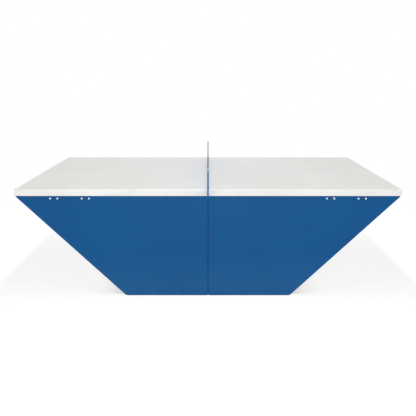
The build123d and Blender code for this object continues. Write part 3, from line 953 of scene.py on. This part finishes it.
# %% [markdown]
# ## Background and fill light
# The photograph has a white ground. The background could be made white with stronger lamps, but those would
# bleach the table. Instead rays from the camera, and the ones that mirrors and glass send on, see a white
# world, while the world that lights the table has its own level. That light is strongest along the horizon,
# as in a studio with pale walls, so it fills in the upright sides and hardly touches the top. It is weakest
# in front, where a lamp stands, and strongest at the ends, so that they look as white as the long sides.

# %% Light path helper
def seen_directly(graph):
    """One for rays that show the background: from the camera, off gloss and through glass."""
    path = graph.node("ShaderNodeLightPath").outputs
    either = graph.maths("MAXIMUM", path["Is Camera Ray"], path["Is Glossy Ray"])
    return graph.maths("MAXIMUM", either, path["Is Transmission Ray"])


print("light path helper ready")

# %% Make the world
OVERHEAD_GLOW = 0.06
FRONT_GLOW = 2.0
BACK_GLOW = 5.4
END_GLOW = 9.5
END_STARTS = 0.6  # how far to the side a direction has to point before it turns to the glow at the ends
HORIZON_TOP = math.radians(14)  # the glow has faded at this angle

world = bpy.data.worlds.new("studio")
bpy.context.scene.world = world
world.use_nodes = True
sky = Graph(world.node_tree)
background = world.node_tree.nodes["Background"]
background.inputs["Color"].default_value = colour(1, 1, 1)
direction = sky.node("ShaderNodeTexCoord").outputs["Generated"]
side, back, rise = sky.node("ShaderNodeSeparateXYZ", Vector=direction).outputs
horizon = sky.span(back, -1.0, 1.0, FRONT_GLOW, BACK_GLOW)
horizon = sky.span(sky.maths("ABSOLUTE", side), END_STARTS, 1.0, horizon, END_GLOW)
sky_glow = sky.span(rise, 0.0, math.sin(HORIZON_TOP), horizon, OVERHEAD_GLOW)
shown = seen_directly(sky)
lighting = sky.maths("MULTIPLY", sky_glow, sky.maths("SUBTRACT", 1.0, shown))
sky.feed(background.inputs["Strength"], sky.maths("ADD", lighting, shown))
print("the horizon lights with", FRONT_GLOW, "in front,", BACK_GLOW, "behind and", END_GLOW, "at the ends")

# %% [markdown]
# ## Floor
# The floor is one pale sheet that takes the table's shadow. A plain white sheet would look grey under soft
# light. So what the camera sees is part light of its own and part shade: the two add up to white in the
# open, and where the table keeps the lamps off, the missing part is the shadow. Inside the base the shade
# counts for more, because it is dark in there. Further out the floor turns to plain white and melts into
# the background.

# %% Lay the floor
FLOOR_REACH = 40.0

floor_mesh = bpy.data.meshes.new("floor")
corners = [(x * FLOOR_REACH, y * FLOOR_REACH, 0) for x, y in ((-1, -1), (1, -1), (1, 1), (-1, 1))]
floor_mesh.from_pydata(corners, [], [(0, 1, 2, 3)])
floor = bpy.data.objects.new("floor", floor_mesh)
bpy.context.scene.collection.objects.link(floor)
print("floor of", 2 * FLOOR_REACH, "m")

# %% Find how open a place on the floor is
NEAR_FLOOR = 2.2  # shade shows in full up to here
FAR_FLOOR = 6.0  # and is gone from here on
SHELTER_STARTS = 0.9  # metres from the table's middle, towards its ends
SHELTER_FULL = 0.3

ground = Finish("pale_floor")
ground.tree.nodes.remove(ground.shader)
away = ground.node("ShaderNodeVectorMath", {"operation": "LENGTH"}, Vector=ground.place).outputs["Value"]
inside_x = ground.span(ground.maths("ABSOLUTE", ground.x), SHELTER_FULL, SHELTER_STARTS, 1.0, 0.0)
inside_y = ground.span(ground.maths("ABSOLUTE", ground.y), -panel_high.y, -panel_low.y, 1.0, 0.0)
sheltered = ground.maths("MULTIPLY", inside_x, inside_y)
print("the shade fades out between", NEAR_FLOOR, "and", FAR_FLOOR, "m")

# %% Mix the floor's own light with its shade
FLOOR_WHITE = 0.9
NEAR_GLOW = 0.855
NEAR_SHADE = 0.28
SHELTERED_GLOW = 0.2
SHELTERED_SHADE = 0.8

shown = seen_directly(ground)
near_glow = ground.span(sheltered, 0.0, 1.0, NEAR_GLOW, SHELTERED_GLOW)
near_loss = ground.span(sheltered, 0.0, 1.0, 1.0 - NEAR_SHADE, 1.0 - SHELTERED_SHADE)
own_light = ground.maths("MULTIPLY", shown, ground.span(away, NEAR_FLOOR, FAR_FLOOR, near_glow, 1.0))
loss = ground.maths("MULTIPLY", shown, ground.span(away, NEAR_FLOOR, FAR_FLOOR, near_loss, 1.0))
grey = ground.maths("MULTIPLY", ground.maths("SUBTRACT", 1.0, loss), FLOOR_WHITE)
matt = ground.node("ShaderNodeBsdfDiffuse", Color=grey).outputs[0]
lit = ground.node("ShaderNodeEmission", Color=colour(1, 1, 1), Strength=own_light).outputs[0]
both = ground.node("ShaderNodeAddShader")
ground.feed(both.inputs[0], matt)
ground.feed(both.inputs[1], lit)
ground.feed(ground.tree.nodes["Material Output"].inputs["Surface"], both.outputs[0])
floor_mesh.materials.append(ground.material)
print("made", ground.material.name)

# %% [markdown]
# ## Lamps
# The light in the photograph is soft and comes more from the front than from above: the front of the slab
# is a little brighter than the playing surface. One lamp in front, taller than it is wide, does that. A
# second one over the table could hang anywhere, but off to a side it would throw the net's shadow on the
# top, so it is a long strip in the net's own plane. A lamp's power is worked out from how bright a white
# card facing it should look, so that a colour renders about as it is written.

# %% Hang the lamps
def soft_lamp(name, place, aim, wide, deep, brightness):
    """A flat lamp. Brightness 1 shows a white card that faces it, at the aim, as about white."""
    light = bpy.data.lights.new(name, "AREA")
    light.shape = "RECTANGLE"
    light.size = wide
    light.size_y = deep
    reach = Vector(aim) - Vector(place)
    light.energy = brightness * math.pi**2 * reach.length_squared
    lamp = bpy.data.objects.new(name, light)
    lamp.location = place
    lamp.rotation_euler = reach.to_track_quat("-Z", "Y").to_euler()
    lamp.visible_camera = False
    bpy.context.scene.collection.objects.link(lamp)
    print(name, round(light.energy), "W")


soft_lamp(
    "front_lamp", place=(0, -7.5, 2.4), aim=(0, 0, 0.4), wide=1.0, deep=3.0, brightness=0.31
)
soft_lamp(
    "strip_over_the_net", place=(0, 0, 6.0), aim=(0, 0, playing_height), wide=0.5, deep=9.0, brightness=0.965
)

# %% [markdown]
# ## Camera
# The photograph looks straight at the long side from eye height. Its upright lines stay upright, so the
# camera is nearly level, and the frame is moved down on the sensor to hold the table, which is what the
# shift does. Place, tilt and lens follow from the edges of the top, the base and the net, whose real sizes
# are known.

# %% Set the camera
CAMERA_BACK = 4.6507
CAMERA_HEIGHT = 1.5643
CAMERA_TILT = math.radians(1.484)  # downwards
CAMERA_LENS = 48.016
CAMERA_SENSOR = 36
CAMERA_SHIFT = -0.285

lens = bpy.data.cameras.new("camera")
lens.sensor_width = CAMERA_SENSOR
lens.lens = CAMERA_LENS
lens.shift_y = CAMERA_SHIFT
camera = bpy.data.objects.new("camera", lens)
camera.location = (0, -CAMERA_BACK, CAMERA_HEIGHT)
camera.rotation_euler = (math.pi / 2 - CAMERA_TILT, 0, 0)
bpy.context.scene.collection.objects.link(camera)
bpy.context.scene.camera = camera
bpy.context.scene.view_settings.view_transform = "Standard"
print("camera at", [round(value, 3) for value in camera.location])
